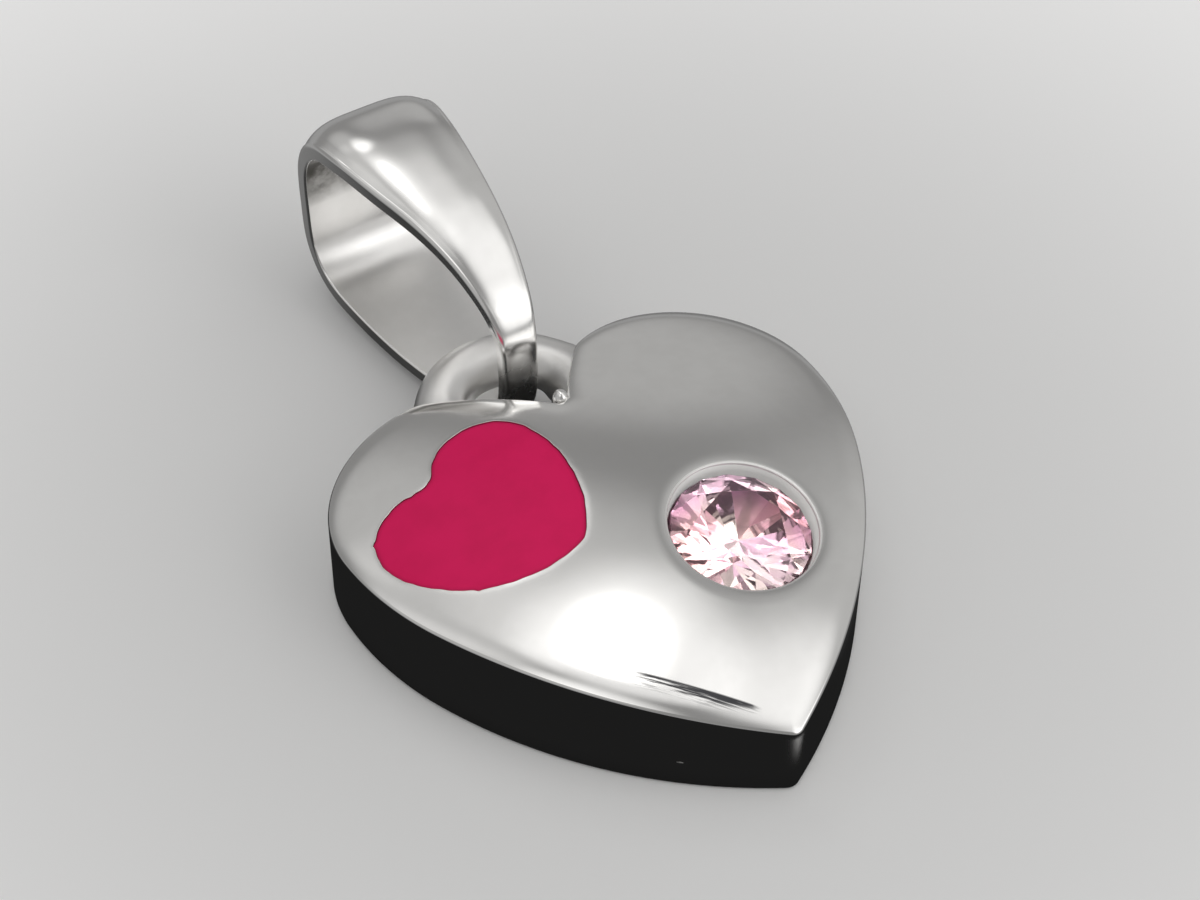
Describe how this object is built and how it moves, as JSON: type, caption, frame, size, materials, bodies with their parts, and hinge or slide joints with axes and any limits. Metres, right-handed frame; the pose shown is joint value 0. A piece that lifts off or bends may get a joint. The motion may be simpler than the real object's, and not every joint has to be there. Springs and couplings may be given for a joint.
{
  "type": "heart pendant",
  "caption": "Domed silver heart pendant with a small crimson enamel heart, a round pale pink stone and a folded tapered bail hinged on a soldered eyelet.",
  "frame": {"origin": "on the flat back face, midway across the heart, close to its widest place", "axes": "+X to the right across the heart, seen from its domed face; +Y from the tip towards the bail; +Z out of the domed face. The pendant lies on its back on the plane Z = 0."},
  "size_m": [0.0118, 0.0189, 0.0054],
  "materials": {
    "silver": "polished silver with fine wear",
    "enamel": "smooth crimson enamel",
    "stone": "faceted pale pink stone"
  },
  "bodies": {
    "pendant": {"heart_body": "silver", "enamel_heart": "enamel", "pink_stone": "stone"},
    "bail": {"bail": "silver"}
  },
  "joints": [
    {"name": "bail_swing", "type": "hinge", "parent": "pendant", "child": "bail", "pos_m": [-0.00007, 0.004, 0.00195], "axis": [1, 0, 0], "range_deg": [-75, 40]}
  ]
}
